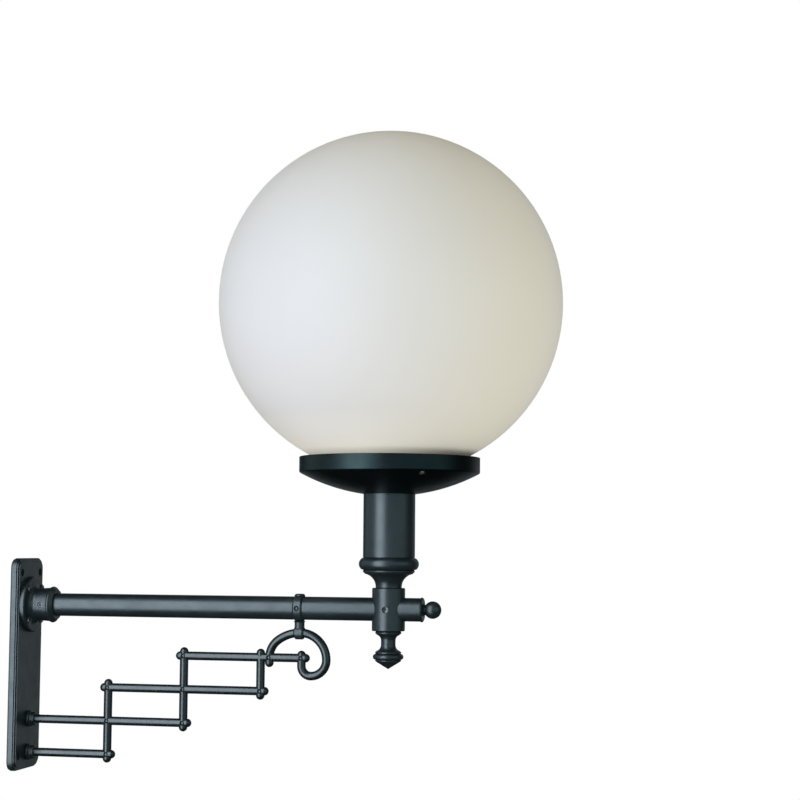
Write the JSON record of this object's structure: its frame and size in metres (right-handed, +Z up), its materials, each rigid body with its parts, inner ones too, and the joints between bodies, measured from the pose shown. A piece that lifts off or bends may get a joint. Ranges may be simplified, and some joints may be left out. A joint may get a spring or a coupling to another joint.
{
  "type": "outdoor wall light",
  "caption": "Wall light: opal ball globe on a turned column, on a tube arm braced by a scroll and a stepped lattice of round rods.",
  "frame": {"origin": "middle of the wall plate's fixing holes, on the wall's face", "axes": "+X points out from the wall along the arm, +Z is up, -Y faces the viewer with the lamp at the right"},
  "size_m": [0.65, 0.4, 0.7494],
  "materials": {
    "satin_paint": "satin anthracite paint",
    "dish_black": "satin black paint",
    "dark_fasteners": "blackened screws",
    "zinc_steel": "zinc plated",
    "black_rubber": "matt",
    "brass": "bright",
    "porcelain": "glazed white",
    "opal_plastic": "satin opal",
    "bulb_glass": "clear glass",
    "wire_sleeve": "matt sleeve",
    "earth_sleeve": "green and yellow sleeve"
  },
  "bodies": {
    "bracket": {"wall_gasket": "black_rubber", "wall_plate": "satin_paint", "cable_grommet": "black_rubber", "arm_socket": "satin_paint", "socket_screws": "dark_fasteners", "socket_grub_screw": "dark_fasteners", "arm_tube": "satin_paint", "rail_collars": "satin_paint", "rail_1": "satin_paint", "rail_2": "satin_paint", "rail_3": "satin_paint", "rail_4": "satin_paint", "stile_1": "satin_paint", "stile_2": "satin_paint", "stile_3": "satin_paint", "crossing_pins": "dark_fasteners", "scroll": "satin_paint", "clamp_ring": "satin_paint", "clamp_pin": "dark_fasteners", "cross_fitting": "satin_paint", "cross_screw": "dark_fasteners", "end_cap": "satin_paint", "ball_finial": "satin_paint", "drop_finial": "satin_paint", "baluster": "satin_paint", "post": "satin_paint", "stay_tube": "zinc_steel", "stay_washer": "zinc_steel", "stay_nut": "zinc_steel", "dish": "dish_black", "neck_seal": "black_rubber", "lamp_bracket": "zinc_steel", "lampholder": "porcelain", "holder_shell": "brass", "holder_contact": "brass", "holder_screws": "zinc_steel", "terminal_block": "porcelain", "terminal_screws": "brass", "supply_cable": "black_rubber", "cable_cores": "wire_sleeve", "holder_leads": "wire_sleeve", "earth_screw": "zinc_steel", "earth_lead": "earth_sleeve"},
    "globe": {"globe": "opal_plastic"},
    "bulb": {"bulb_glass": "bulb_glass", "bulb_cap": "brass", "bulb_insulator": "black_rubber", "bulb_contact": "brass"},
    "screw_1": {"globe_screw_1": "zinc_steel"},
    "screw_2": {"globe_screw_2": "zinc_steel"},
    "screw_3": {"globe_screw_3": "zinc_steel"}
  },
  "joints": [
    {"name": "globe_lift", "type": "slide", "parent": "bracket", "child": "globe", "axis": [0, 0, 1], "range_m": [0, 0.2]},
    {"name": "bulb_unscrew", "type": "slide", "parent": "bracket", "child": "bulb", "axis": [0, 0, 1], "range_m": [0, 0.034]},
    {"name": "screw_1_back", "type": "slide", "parent": "bracket", "child": "screw_1", "axis": [0.3954, -0.5862, -0.7071], "range_m": [0, 0.006]},
    {"name": "screw_2_back", "type": "slide", "parent": "bracket", "child": "screw_2", "axis": [0.31, 0.6355, -0.7071], "range_m": [0, 0.006]},
    {"name": "screw_3_back", "type": "slide", "parent": "bracket", "child": "screw_3", "axis": [-0.7054, -0.0493, -0.7071], "range_m": [0, 0.006]}
  ]
}
